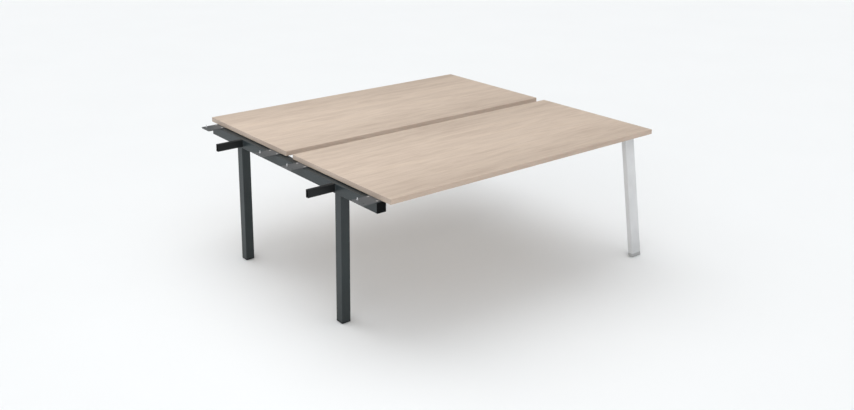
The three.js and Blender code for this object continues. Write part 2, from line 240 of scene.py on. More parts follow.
def rounded_rect(width, height, radius):
    radius = max(radius, LEAST_RADIUS)
    points = []
    for corner, (x_sign, y_sign) in enumerate(((1, 1), (-1, 1), (-1, -1), (1, -1))):
        for step in range(CORNER_STEPS + 1):
            angle = (corner + step / CORNER_STEPS) * TURN / 4
            x = x_sign * (width / 2 - radius) + radius * math.cos(angle)
            y = y_sign * (height / 2 - radius) + radius * math.sin(angle)
            points.append((x, y))
    return points


def inset_rect(width, height, radius, inset):
    return rounded_rect(width - 2 * inset, height - 2 * inset, radius - inset)


def bearings(steps):
    return [TURN * i / steps for i in range(steps)]


def on_circle(radius, angles):
    return [(radius * math.cos(a), radius * math.sin(a)) for a in angles]


def circle(radius, steps=ROUND_STEPS):
    return on_circle(radius, bearings(steps))


def circle_like(outline, radius):
    """Points on a circle at the same bearings as the points of an outline."""
    return on_circle(radius, [math.atan2(y, x) for x, y in outline])


def hexagon(width):
    """A hexagon of that width across its flats, with as many points as a circle has."""
    sixth = TURN / HEX_SIDES
    points = []
    for angle in bearings(ROUND_STEPS):
        radius = width / 2 / math.cos((angle % sixth) - sixth / 2)
        points.append((radius * math.cos(angle), radius * math.sin(angle)))
    return points


def moved(outline, dx, dy):
    return [(dx + x, dy + y) for x, y in outline]


def rounded_edge(radius):
    """Insets and heights of a lower edge that is rounded in two steps."""
    middle = ROUND_MIDDLE * radius
    return ((radius, 0), (middle, middle), (0, radius))


# Loops: outlines placed in space, which a loft then skins

def at_height(outline, height):
    return [Vector((x, y, height)) for x, y in outline]


def stack(sections):
    """Level loops from (outline, height) pairs."""
    return [at_height(outline, height) for outline, height in sections]


def tube_loops(width, height, length):
    """A hollow tube whose cut edges are slightly broken."""
    wall = TUBE_WALL
    edge = TUBE_END_BREAK
    profile = ((0, edge), (0, length - edge), (edge, length), (wall - edge, length),
               (wall, length - edge), (wall, edge), (wall - edge, 0), (edge, 0))
    return stack((inset_rect(width, height, TUBE_RADIUS, inset), z) for inset, z in profile)


def threaded_loops(radius, depth, pitch, bottom, top):
    """A rod with a helical thread that fades out at both ends."""
    rows = round((top - bottom) / pitch * THREAD_ROWS)
    loops = []
    for row in range(rows + 1):
        z = bottom + (top - bottom) * row / rows
        fade = min(1, (z - bottom) / pitch, (top - z) / pitch)
        loop = []
        for angle in bearings(ROUND_STEPS):
            phase = (z / pitch - angle / TURN) % 1
            groove = depth * abs(2 * phase - 1)
            reach = radius - depth * (1 - fade) - groove * fade
            loop.append(Vector((reach * math.cos(angle), reach * math.sin(angle), z)))
        loops.append(loop)
    return loops


def key_socket(width, depth, mouth, inward):
    """A hex socket with a broken rim, from its mouth to its floor. Inward is 1 for up and -1 for down."""
    return stack(((hexagon(width + HEAD_BREAK), mouth),
                  (hexagon(width), mouth + inward * HEAD_BREAK),
                  (hexagon(width), mouth + inward * depth)))


# Meshes

def loft(shape, loops, closed=False):
    """Skins loops of equal length. An open loft gets a face over each end, a closed one joins up."""
    rows = [[shape.verts.new(p) for p in loop] for loop in loops]
    pairs = list(zip(rows, rows[1:]))
    if closed:
        pairs.append((rows[-1], rows[0]))
    for low, high in pairs:
        for i in range(len(low)):
            j = (i + 1) % len(low)
            shape.faces.new((low[i], low[j], high[j], high[i]))
    if not closed:
        shape.faces.new(rows[0])
        shape.faces.new(rows[-1])


def lofted(loops, closed=False):
    shape = bmesh.new()
    loft(shape, loops, closed)
    return shape


def plate(outline, holes, thickness):
    """A flat plate with holes and broken edges, standing on z = 0."""
    shape = bmesh.new()
    for loop in (outline, *holes):
        verts = [shape.verts.new((x, y, 0)) for x, y in loop]
        for pair in zip(verts, verts[1:] + verts[:1]):
            shape.edges.new(pair)
    bmesh.ops.triangle_fill(shape, use_beauty=True, use_dissolve=True, edges=shape.edges[:])
    raised = bmesh.ops.extrude_face_region(shape, geom=shape.faces[:])["geom"]
    for item in raised:
        if isinstance(item, bmesh.types.BMVert):
            item.co.z = thickness
    bmesh.ops.recalc_face_normals(shape, faces=shape.faces[:])
    rim = [edge for edge in shape.edges if edge.calc_face_angle(0) > BRACKET_RIM_ANGLE]
    bmesh.ops.bevel(shape, geom=rim, offset=BRACKET_BREAK, segments=BREAK_SEGMENTS,
                    profile=ROUND_PROFILE, affect="EDGES")
    return shape


def weld_bead(shape, start, end, side, axis, flush=False):
    """A rippled bead, tapered at both ends, in the corner between two faces or along a flush seam."""
    start = Vector(start)
    end = Vector(end)
    count = max(1, round((end - start).length / WELD_STEP))
    loops = []
    for i in range(count + 1):
        point = start.lerp(end, i / count)
        run = (point - start).length
        steps_in = min(i, count - i)
        taper = min(1, WELD_END_SHARE + (1 - WELD_END_SHARE) * steps_in / WELD_END_STEPS)
        radius = WELD_RADIUS * taper * (1 + WELD_RIPPLE * math.sin(TURN * run / WELD_PITCH))
        if flush:
            centre = point - side * (WELD_RADIUS - WELD_FLUSH_RISE)
        else:
            centre = point - (side + axis) * WELD_SET_BACK
        loops.append([centre + x * side + y * axis for x, y in circle(radius, WELD_SIDES)])
    loft(shape, loops)


def along(axis, start):
    """Carries a section's plane and its length, along +Z, to a world axis and a starting point."""
    columns = [Vector((0, 0, 0)) for _ in range(3)]
    for i, world in enumerate(((axis + 1) % 3, (axis + 2) % 3, axis)):
        columns[i][world] = 1
    turn = Matrix(columns).transposed().to_4x4()
    return Matrix.Translation(start) @ turn


def add_piece(name, shape, material, body=DESK, nodes=(), place=None, sharp=SHARP_EDGE):
    """Makes a piece that rides on a body, and replaces the nodes that it stands for."""
    bmesh.ops.recalc_face_normals(shape, faces=shape.faces[:])
    mesh = bpy.data.meshes.new(name)
    shape.to_mesh(mesh)
    shape.free()
    if place is not None:
        mesh.transform(place)
    for polygon in mesh.polygons:
        polygon.use_smooth = True
    mesh.set_sharp_from_angle(angle=sharp)
    mesh.materials.append(material)
    piece = bpy.data.objects.new(name, mesh)
    bpy.context.scene.collection.objects.link(piece)
    flatten = piece.modifiers.new("flat_faces", "WEIGHTED_NORMAL")
    flatten.weight = FLAT_FACE_WEIGHT
    flatten.keep_sharp = True
    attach(piece, body)
    if nodes:
        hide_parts(*nodes)
    return piece


# Material nodes

# A layer of noise: its scale per metre along one axis and across it, then how it is broken up
Noise = namedtuple("Noise", "along across detail roughness distortion", defaults=(0,))

# Between these values lies most of a layer of noise
NOISE_LOW = 0.3
NOISE_HIGH = 0.7


def new_material(name):
    material = bpy.data.materials.new(name)
    material.use_nodes = True
    return material, material.node_tree, material.node_tree.nodes["Principled BSDF"]


def add_node(tree, kind, **inputs):
    node = tree.nodes.new(kind)
    for key, value in inputs.items():
        node.inputs[key.replace("_", " ")].default_value = value
    return node


def object_coords(tree):
    return tree.nodes.new("ShaderNodeTexCoord").outputs["Object"]


def noise(tree, coords, layer, axis=Z):
    """A layer of noise with a scale of its own along one axis, as a value about 0.5."""
    scale = [layer.across] * 3
    scale[axis] = layer.along
    mapping = add_node(tree, "ShaderNodeMapping", Scale=scale)
    texture = add_node(tree, "ShaderNodeTexNoise", Scale=1, Detail=layer.detail,
                       Roughness=layer.roughness, Distortion=layer.distortion)
    tree.links.new(coords, mapping.inputs["Vector"])
    tree.links.new(mapping.outputs["Vector"], texture.inputs["Vector"])
    return texture.outputs["Fac"]


def ramp(tree, value, *stops):
    """A colour ramp from (position, colour) stops, where a colour may be one grey level."""
    node = tree.nodes.new("ShaderNodeValToRGB")
    elements = node.color_ramp.elements
    while len(elements) < len(stops):
        elements.new(1)
    for element, (position, colour) in zip(elements, stops):
        element.position = position
        rgb = (colour,) * 3 if isinstance(colour, (int, float)) else colour
        element.color = (*rgb, 1)
    tree.links.new(value, node.inputs["Fac"])
    return node.outputs["Color"]


def swing(tree, value, low, high):
    """A ramp from one colour to another over most of a layer of noise."""
    return ramp(tree, value, (NOISE_LOW, low), (NOISE_HIGH, high))


def toned(colour, share):
    """A colour times one share, or times a share for each of its channels."""
    shares = share if isinstance(share, tuple) else (share,) * 3
    return [c * s for c, s in zip(colour, shares)]


def multiply(tree, a, b, weight=1.0):
    node = tree.nodes.new("ShaderNodeMix")
    node.data_type = "RGBA"
    node.blend_type = "MULTIPLY"
    node.inputs["Factor"].default_value = weight
    tree.links.new(a, node.inputs["A"])
    tree.links.new(b, node.inputs["B"])
    return node.outputs["Result"]


def bump(tree, shader, height, strength, distance):
    node = add_node(tree, "ShaderNodeBump", Strength=strength, Distance=distance)
    tree.links.new(height, node.inputs["Height"])
    tree.links.new(node.outputs["Normal"], shader.inputs["Normal"])


# Wood-grain laminate: shares of the tint at values of each layer

LAMINATE_FIGURE = Noise(along=2.2, across=22, detail=4, roughness=0.6, distortion=0.3)
LAMINATE_STREAK = Noise(along=7, across=95, detail=4, roughness=0.62, distortion=0.1)
LAMINATE_PORE = Noise(along=30, across=900, detail=2, roughness=0.5)
FIGURE_SHARES = ((0.30, (0.89, 0.87, 0.86)), (0.52, 1), (0.74, (1.06, 1.06, 1.04)))
HEART_SHARES = ((0.0, (0.925, 0.92, 0.915)), (0.8, 1.03))
STREAK_SHARES = ((0.32, (0.905, 0.892, 0.878)), (0.52, 0.99), (0.70, 1.03))
PORE_SHARES = ((0.30, (0.80, 0.77, 0.74)), (0.40, 1.0))
PORE_WEIGHT = 0.45
LAMINATE_DULL = 0.56
LAMINATE_SHINE = 0.44
LAMINATE_GLOSS = 0.35
GRAIN_RELIEF = 0.25
GRAIN_DEPTH = 0.08 * MM

# Blender's wave texture runs through this many radians for each unit of its scale
WAVE_FACTOR = 20

HEART_DISTORTION = 0.6
HEART_DETAIL = 2
HEART_DETAIL_SCALE = 1.2


def heart_figure(tree, coords):
    """A slow wave across the boards that is lightest along the middle of each."""
    scale = TURN / WAVE_FACTOR / board_spacing
    wave = add_node(tree, "ShaderNodeTexWave", Scale=scale, Distortion=HEART_DISTORTION,
                    Detail=HEART_DETAIL, Detail_Scale=HEART_DETAIL_SCALE)
    wave.wave_type = "BANDS"
    wave.bands_direction = "Y"
    wave.wave_profile = "SIN"
    tree.links.new(coords, wave.inputs["Vector"])
    return wave.outputs["Fac"]


def laminate(name, grain_axis, tint):
    """A pale heart in each board, and a broad figure, fine streaks and short pores along the grain."""
    material, tree, shader = new_material(name)
    coords = object_coords(tree)
    figure = noise(tree, coords, LAMINATE_FIGURE, grain_axis)
    streak = noise(tree, coords, LAMINATE_STREAK, grain_axis)
    pore = noise(tree, coords, LAMINATE_PORE, grain_axis)
    base = ramp(tree, figure, *((value, toned(tint, share)) for value, share in FIGURE_SHARES))
    heart = ramp(tree, heart_figure(tree, coords), *HEART_SHARES)
    lines = ramp(tree, streak, *STREAK_SHARES)
    pores = ramp(tree, pore, *PORE_SHARES)
    colour = multiply(tree, multiply(tree, base, heart), lines)
    colour = multiply(tree, colour, pores, PORE_WEIGHT)
    tree.links.new(colour, shader.inputs["Base Color"])
    tree.links.new(swing(tree, streak, LAMINATE_DULL, LAMINATE_SHINE), shader.inputs["Roughness"])
    bump(tree, shader, multiply(tree, lines, pores), GRAIN_RELIEF, GRAIN_DEPTH)
    shader.inputs["Specular IOR Level"].default_value = LAMINATE_GLOSS
    return material


# Powder coat: fine pebbles, a faint speckle, slow changes of tone, and painted shade that darkens it
# towards the floor

COAT_PEBBLE = Noise(along=780, across=780, detail=2, roughness=0.55)
COAT_SPECK = Noise(along=2300, across=2300, detail=1, roughness=0.5)
COAT_TONE = Noise(along=7, across=7, detail=3, roughness=0.5)
COAT_TONE_LOW = 0.93
COAT_TONE_HIGH = 1.06
# Painted shade: shares of the tint by height above the floor, darker where the legs get less light near
# the floor
FLOOR_SHADE_SHARES = ((0.0, 0.77), (0.07, 0.83), (0.16, 0.92), (0.32, 1.0))
SPECK_SHARES = ((0.34, 0.80), (0.5, 1.0), (0.68, 1.0), (0.78, 1.22))
SPECK_WEIGHT = 0.6
PEBBLE_DULL = 0.08
PEBBLE_SHINE = 0.06
PEBBLE_RELIEF = 0.35
PEBBLE_DEPTH = 0.12 * MM


def powder_coat(name, tint, roughness, gloss):
    material, tree, shader = new_material(name)
    coords = object_coords(tree)
    place = tree.nodes.new("ShaderNodeSeparateXYZ")
    tree.links.new(coords, place.inputs["Vector"])
    tone = noise(tree, coords, COAT_TONE)
    pebble = noise(tree, coords, COAT_PEBBLE)
    # Painted shade: the coat is darkened towards the floor
    floor_shade = ramp(tree, place.outputs["Z"], *FLOOR_SHADE_SHARES)
    specks = ramp(tree, noise(tree, coords, COAT_SPECK), *SPECK_SHARES)
    body = swing(tree, tone, toned(tint, COAT_TONE_LOW), toned(tint, COAT_TONE_HIGH))
    colour = multiply(tree, multiply(tree, body, floor_shade), specks, SPECK_WEIGHT)
    tree.links.new(colour, shader.inputs["Base Color"])
    rough = swing(tree, pebble, roughness + PEBBLE_DULL, roughness - PEBBLE_SHINE)
    tree.links.new(rough, shader.inputs["Roughness"])
    bump(tree, shader, pebble, PEBBLE_RELIEF, PEBBLE_DEPTH)
    shader.inputs["Specular IOR Level"].default_value = gloss
    return material


# Moulded plastic: a spark-eroded grain and faint flow marks

PLASTIC_GRAIN = Noise(along=1500, across=1500, detail=2, roughness=0.6)
PLASTIC_FLOW = Noise(along=90, across=30, detail=3, roughness=0.5, distortion=0.5)
FLOW_TONE_LOW = 0.94
FLOW_TONE_HIGH = 1.06
SPARK_DULL = 0.1
SPARK_SHINE = 0.08
SPARK_RELIEF = 0.3
SPARK_DEPTH = 0.06 * MM


def moulded_plastic(name, tint, roughness, gloss):
    material, tree, shader = new_material(name)
    coords = object_coords(tree)
    grain = noise(tree, coords, PLASTIC_GRAIN)
    flow = noise(tree, coords, PLASTIC_FLOW)
    body = swing(tree, flow, toned(tint, FLOW_TONE_LOW), toned(tint, FLOW_TONE_HIGH))
    tree.links.new(body, shader.inputs["Base Color"])
    rough = swing(tree, grain, roughness + SPARK_DULL, roughness - SPARK_SHINE)
    tree.links.new(rough, shader.inputs["Roughness"])
    bump(tree, shader, grain, SPARK_RELIEF, SPARK_DEPTH)
    shader.inputs["Specular IOR Level"].default_value = gloss
    return material


# Bright zinc plate: a fine drawn grain and dull patches

ZINC_DRAWN = Noise(along=4200, across=600, detail=2, roughness=0.5)
ZINC_PATCH = Noise(along=140, across=140, detail=3, roughness=0.55)
PATCH_TONE = 0.82
PATCH_ROUGHNESS = 0.42
ZINC_ROUGHNESS = 0.22
DRAWN_RELIEF = 0.15
DRAWN_DEPTH = 0.03 * MM


def zinc_plate(name, tint):
    material, tree, shader = new_material(name)
    coords = object_coords(tree)
    drawn = noise(tree, coords, ZINC_DRAWN)
    patch = noise(tree, coords, ZINC_PATCH)
    tree.links.new(swing(tree, patch, toned(tint, PATCH_TONE), tint), shader.inputs["Base Color"])
    tree.links.new(swing(tree, patch, PATCH_ROUGHNESS, ZINC_ROUGHNESS), shader.inputs["Roughness"])
    shader.inputs["Metallic"].default_value = 1.0
    bump(tree, shader, drawn, DRAWN_RELIEF, DRAWN_DEPTH)
    return material


# Plain pale floor with a very faint mottle

FLOOR_MOTTLE = Noise(along=1.3, across=1.3, detail=4, roughness=0.5)
FLOOR_TONE_LOW = 0.99
FLOOR_ROUGHNESS = 0.75
FLOOR_GLOSS = 0.2


def pale_floor(name, tint):
    material, tree, shader = new_material(name)
    mottle = noise(tree, object_coords(tree), FLOOR_MOTTLE)
    tree.links.new(swing(tree, mottle, toned(tint, FLOOR_TONE_LOW), tint), shader.inputs["Base Color"])
    shader.inputs["Roughness"].default_value = FLOOR_ROUGHNESS
    shader.inputs["Specular IOR Level"].default_value = FLOOR_GLOSS
    return material


# Finishes

WOOD_TINT = (0.570, 0.471, 0.389)
BAND_TINT = (0.525, 0.418, 0.341)
# Painted shade: the band's end faces get a darker copy of the band laminate, with the grain across the
# desk, standing in for the shade on the worktops' ends
SHADED_END_BAND_TINT = (0.452, 0.375, 0.3145)
ANTHRACITE_TINT = (0.0262, 0.0337, 0.0360)
# Painted light: the brackets get a lighter copy of the anthracite coat, standing in for the light that
# falls on their tops
LIT_BRACKET_GREY_TINT = (0.088, 0.092, 0.095)
# Partly painted shade: a near-black coat for the link arms and rails, their own darker tone deepened to
# stand in for the shade a neighbouring worktop throws on them
NEAR_BLACK_SHADED_TINT = (0.010, 0.0115, 0.012)
PALE_TINT = (0.635, 0.645, 0.655)
BLACK_TINT = (0.005, 0.0055, 0.006)
GREY_TINT = (0.33, 0.335, 0.335)
ZINC_TINT = (0.72, 0.73, 0.75)
FLOOR_TINT = (0.835, 0.852, 0.862)

wood = laminate("laminate_top", X, WOOD_TINT)
band_long = laminate("laminate_band_long", X, BAND_TINT)
shaded_end_band = laminate("laminate_shaded_end_band", Y, SHADED_END_BAND_TINT)
anthracite = powder_coat("anthracite_powder_coat", ANTHRACITE_TINT, roughness=0.32, gloss=0.30)
lit_bracket_grey = powder_coat("lit_bracket_grey_powder_coat", LIT_BRACKET_GREY_TINT, roughness=0.42, gloss=0.34)
near_black_shaded = powder_coat("near_black_shaded_powder_coat", NEAR_BLACK_SHADED_TINT, roughness=0.4, gloss=0.22)
pale_grey = powder_coat("pale_grey_powder_coat", PALE_TINT, roughness=0.5, gloss=0.35)
black_plastic = moulded_plastic("black_moulded_plastic", BLACK_TINT, roughness=0.5, gloss=0.03)
grey_plastic = moulded_plastic("grey_moulded_plastic", GREY_TINT, roughness=0.5, gloss=0.3)
zinc = zinc_plate("bright_zinc_plate", ZINC_TINT)


# Worktops: a board with its laminate faces, and an edge band round it with a fine seam between them

def board_loops(width, depth, height):
    inner_width = width - 2 * BAND_THICKNESS
    inner_depth = depth - 2 * BAND_THICKNESS
    radius = TOP_CORNER_RADIUS - BAND_THICKNESS
    profile = ((BAND_SEAM, 0), (0, BAND_SEAM_DEPTH), (0, height - BAND_SEAM_DEPTH), (BAND_SEAM, height))
    return stack((inset_rect(inner_width, inner_depth, radius, inset), z) for inset, z in profile)


def band_loops(width, depth, height):
    """A closed profile: the inner wall with its seam edges, then the rounded outer edges."""
    inner = BAND_THICKNESS
    radius = BAND_ROUND
    quarter = [TURN / 4 * i / BAND_ROUND_STEPS for i in range(BAND_ROUND_STEPS + 1)]
    profile = [(inner, height - BAND_SEAM_DEPTH), (inner, BAND_SEAM_DEPTH), (inner - BAND_SEAM, 0)]
    profile += [(radius * (1 - math.sin(a)), radius * (1 - math.cos(a))) for a in quarter]
    profile += [(radius * (1 - math.cos(a)), height - radius * (1 - math.sin(a))) for a in quarter]
    profile.append((inner - BAND_SEAM, height))
    return stack((inset_rect(width, depth, TOP_CORNER_RADIUS, inset), z) for inset, z in profile)


def add_worktop(side):
    node = f"desktop_{side}"
    size = size_of(node)
    place = standing_on(node)
    board = lofted(board_loops(*size))
    add_piece(f"worktop_board_{side}", board, wood, nodes=[node], place=place)
    edge = lofted(band_loops(*size), closed=True)
    band = add_piece(f"worktop_edge_band_{side}", edge, band_long, place=place)
    # The band's end faces take the darker copy: painted shade
    band.data.materials.append(shaded_end_band)
    middle = centre_of(node).x
    reach = size.x / 2 - 2 * BAND_THICKNESS
    for polygon in band.data.polygons:
        if abs(polygon.center.x - middle) > reach:
            polygon.material_index = 1


for side in SIDES:
    add_worktop(side)


# Tubes

def add_tube(name, node, axis, material):
    size = size_of(node)
    start = centre_of(node)
    start[axis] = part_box(node)[0][axis]
    tube = lofted(tube_loops(size[(axis + 1) % 3], size[(axis + 2) % 3], size[axis]), closed=True)
    add_piece(name, tube, material, nodes=[node], place=along(axis, start))


def leaning(sign, pivot_height):
    """A shear that leans what stands on the floor towards the middle of the desk."""
    shear = Matrix.Identity(4)
    shear[Y][Z] = -sign * math.tan(END_LEG_LEAN)
    return Matrix.Translation((0, 0, pivot_height)) @ shear @ Matrix.Translation((0, 0, -pivot_height))


def leaning_span(node):
    """How deep a leaning leg is, level with the floor."""
    size = size_of(node)
    return size.y - size.z * math.tan(END_LEG_LEAN)


def foot_middle(node, span, sign):
    """Where the middle of a leg's or cap's lower end lies across the desk."""
    low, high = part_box(node)
    return low.y + span / 2 if sign < 0 else high.y - span / 2


def add_end_leg(side, sign):
    node = f"end_leg_{side}"
    size = size_of(node)
    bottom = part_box(node)[0].z
    span = leaning_span(node)
    tube = lofted(tube_loops(size.x, span, size.z), closed=True)
    start = Matrix.Translation((centre_of(node).x, foot_middle(node, span, sign), bottom))
    add_piece(f"end_leg_tube_{side}", tube, pale_grey, nodes=[node],
              place=leaning(sign, bottom) @ start)


def add_rail(side):
    """A rail, with strips on it that reach up to the worktop."""
    node = f"rail_{side}"
    length = size_of(node).x
    shape = lofted(tube_loops(rail_width, rail_height, length), closed=True)
    strip_width = rail_width - 2 * TUBE_RADIUS
    rise = top_underside - frame_top
    profile = ((0, -TUBE_WALL / 2), (0, rise - SPACER_BREAK), (SPACER_BREAK, rise))
    for index in range(SPACER_COUNT):
        middle = length * (index + 1) / (SPACER_COUNT + 1)
        loops = []
        for inset, height in profile:
            outline = inset_rect(strip_width, SPACER_LENGTH, SPACER_CORNER_SHARE * strip_width, inset)
            loops.append([Vector((y, rail_height / 2 + height, middle + x)) for y, x in outline])
        loft(shape, loops)
    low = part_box(node)[0]
    start = Vector((low.x, centre_of(node).y, low.z + rail_height / 2))
    add_piece(f"rail_tube_{side}", shape, near_black_shaded, nodes=[node], place=along(X, start))


add_tube("crossbeam_tube", "shared_crossbeam", Y, anthracite)
add_tube("end_crossbeam_tube", "end_crossbeam", Y, pale_grey)
for side in SIDES:
    add_tube(f"leg_tube_{side}", f"shared_leg_{side}", Z, anthracite)
    # Partly painted shade: the link arms take the near-black coat
    add_tube(f"link_arm_tube_{side}", f"link_arm_{side}", X, near_black_shaded)
for side, sign in SIDES.items():
    add_end_leg(side, sign)
for side in SIDES:
    add_rail(side)


# Plastic caps in the tube ends

def add_beam_cap(name, node, sign, material):
    low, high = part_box(node)
    size = high - low
    plug = TUBE_WALL + PLUG_GAP
    profile = (*CAP_FACE, (0, CAP_FLANGE), (plug, CAP_FLANGE), (plug, size.y - CAP_ROUND),
               (plug + CAP_ROUND, size.y))
    outer = high.y if sign > 0 else low.y
    loops = []
    for inset, depth in profile:
        outline = inset_rect(size.x, size.z, TUBE_RADIUS, inset)
        loops.append([Vector((x, outer - sign * depth, z)) for x, z in outline])
    middle = centre_of(node)
    place = Matrix.Translation((middle.x, 0, middle.z))
    add_piece(name, lofted(loops), material, nodes=[node], place=place)


def add_leg_cap(name, node, leg_node, stem_node, sign, material, leans=False):
    """A cap with a plug that goes up into the leg, and a bore for the stem."""
    low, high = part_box(node)
    size = high - low
    # A leaning leg stands a gap above its cap's flange
    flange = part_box(leg_node)[0].z - low.z - (PLUG_GAP if leans else 0)
    lean = math.tan(END_LEG_LEAN) if leans else 0
    span = leaning_span(leg_node) if leans else size.y
    foot_y = foot_middle(node, span, sign)
    middle_x = centre_of(node).x
    stem = centre_of(stem_node)
    plug = TUBE_WALL + PLUG_GAP
    profile = (*rounded_edge(LEG_CAP_ROUND), (0, flange), (plug, flange), (plug, size.z - LEG_CAP_ROUND),
               (plug + LEG_CAP_ROUND, size.z))
    bore = ((BORE_RADIUS, size.z), (BORE_RADIUS, BORE_LEAD), (BORE_RADIUS + BORE_LEAD, 0))
    sections = []
    for inset, z in profile:
        outline = inset_rect(size.x, span, TUBE_RADIUS, inset)
        sections.append((moved(outline, middle_x, foot_y - sign * lean * z), low.z + z))
    rim = inset_rect(size.x, span, TUBE_RADIUS, 0)
    for radius, z in bore:
        sections.append((moved(circle_like(rim, radius), stem.x, stem.y), low.z + z))
    add_piece(name, lofted(stack(sections), closed=True), material, nodes=[node])


for side, sign in SIDES.items():
    add_beam_cap(f"crossbeam_end_cap_{side}", f"crossbeam_cap_{side}", sign,
                 black_plastic)
    add_beam_cap(f"end_crossbeam_end_cap_{side}", f"end_crossbeam_cap_{side}", sign,
                 grey_plastic)
for side, sign in SIDES.items():
    add_leg_cap(f"leg_end_cap_{side}", f"leg_cap_{side}", f"shared_leg_{side}", f"foot_stem_{side}",
                sign, black_plastic)
    add_leg_cap(f"end_leg_end_cap_{side}", f"end_leg_cap_{side}", f"end_leg_{side}",
                f"end_foot_stem_{side}", sign, grey_plastic, leans=True)


# Levelling feet and their threaded stems

def add_foot(name, node, body, material):
    """A round pad with a pocket for the end of its stem."""
    size = size_of(node)
    radius = size.x / 2
    thick = size.z
    edge = FOOT_ROUND
    shoulder = radius - FOOT_TAPER
    profile = [(radius / 2, 0)]
    profile += [(radius - inset, z) for inset, z in rounded_edge(edge)]
    profile += [(radius, FOOT_RIM), (radius - ROUND_MIDDLE * edge, FOOT_RIM + edge)]
    profile += [(shoulder, thick - FOOT_SHOULDER), (shoulder - edge, thick)]
    profile += [(BORE_RADIUS + edge, thick), (BORE_RADIUS, thick - edge), (BORE_RADIUS, FOOT_POCKET_FLOOR)]
    pad = lofted(stack((circle(ring, FOOT_STEPS), z) for ring, z in profile))
    add_piece(name, pad, material, body=body, nodes=[node], place=standing_on(node))


def add_stem(name, node, body):
    """A threaded stem with a hex socket in its upper end."""
    length = size_of(node).z
    core = STEM_RADIUS - STEM_THREAD_DEPTH
    loops = stack([(circle(core), 0)])
    loops += threaded_loops(STEM_RADIUS, STEM_THREAD_DEPTH, STEM_PITCH, STEM_TIP, length - STEM_TIP)
    loops += stack(((circle(core - STEM_END_BREAK), length), (hexagon(STEM_KEY_WIDTH), length),
                    (hexagon(STEM_KEY_WIDTH), length - STEM_KEY_DEPTH)))
    add_piece(name, lofted(loops), zinc, body=body, nodes=[node], place=standing_on(node))


for side in SIDES:
    for prefix, material, slot in (("", black_plastic, "black_plastic"),
                                   ("end_", grey_plastic, "grey_plastic")):
        add_foot(f"{prefix}foot_pad_{side}", f"{prefix}levelling_foot_{side}", f"{prefix}foot_{side}",
                 material)
        add_stem(f"{prefix}threaded_stem_{side}", f"{prefix}foot_stem_{side}", f"{prefix}stem_{side}")


# Brackets

def add_bracket(name, node, holes, material):
    size = size_of(node)
    shape = plate(rounded_rect(size.x, size.y, BRACKET_CORNER), holes, size.z)
    add_piece(name, shape, material, nodes=[node], place=standing_on(node))


def add_shared_bracket(place_name):
    """A plate across the crossbeam: screw holes at both ends, and two bolt seats over the beam."""
    node = f"top_bracket_{place_name}"
    hole = circle(BRACKET_HOLE_RADIUS)
    hole_x = size_of(node).x / 2 - BRACKET_HOLE_EDGE
    hole_y = BRACKET_HOLE_SPACING / 2
    seat = circle(BOLT_SEAT_RADIUS)
    holes = [moved(hole, x, y) for x in (-hole_x, hole_x) for y in (-hole_y, hole_y)]
    holes += [moved(seat, -BOLT_OFFSET, y) for y in (-BOLT_SPACING / 2, BOLT_SPACING / 2)]
    # Painted light: the plate is drawn in the lighter copy of the anthracite coat
    add_bracket(f"bracket_plate_{place_name}", node, holes, lit_bracket_grey)


def add_end_bracket(place_name):
    node = f"end_bracket_{place_name}"
    hole_x = BRACKET_HOLE_EDGE - size_of(node).x / 2
    holes = [moved(circle(BRACKET_HOLE_RADIUS), hole_x, 0)]
    add_bracket(f"end_bracket_plate_{place_name}", node, holes, pale_grey)


for place_name in PLACES:
    add_shared_bracket(place_name)
    add_end_bracket(place_name)


# Bolts, screws and studs

def add_bolt(name, node):
    """A countersunk bolt whose head lies flush with the bracket."""
    size = size_of(node)
    length = size.z
    head = size.x / 2
    profile = ((BOLT_SHANK_RADIUS - BOLT_TIP, 0), (BOLT_SHANK_RADIUS, BOLT_TIP),
               (BOLT_SHANK_RADIUS, length - BOLT_HEAD_DEPTH), (head, length - HEAD_BREAK),
               (head - HEAD_BREAK, length))
    loops = stack((circle(radius), z) for radius, z in profile)
    loops += key_socket(BOLT_KEY_WIDTH, BOLT_KEY_DEPTH, length, -1)
    add_piece(name, lofted(loops), zinc, nodes=[node], place=standing_on(node))


def add_pan_screw(name, node):
    """A pan-head screw driven upwards, with a domed head and a hex socket."""
    size = size_of(node)
    length = size.z
    head = size.x / 2
    profile = [(head * radius, SCREW_HEAD_HEIGHT * z) for radius, z in SCREW_DOME]
    profile += [(SCREW_SHANK_RADIUS, SCREW_HEAD_HEIGHT), (SCREW_SHANK_RADIUS, length - SCREW_TIP),
                (SCREW_SHANK_RADIUS - SCREW_TIP, length)]
    socket = key_socket(SCREW_KEY_WIDTH, SCREW_KEY_DEPTH, 0, 1)
    loops = socket[::-1] + stack((circle(radius), z) for radius, z in profile)
    add_piece(name, lofted(loops), zinc, nodes=[node], place=standing_on(node))


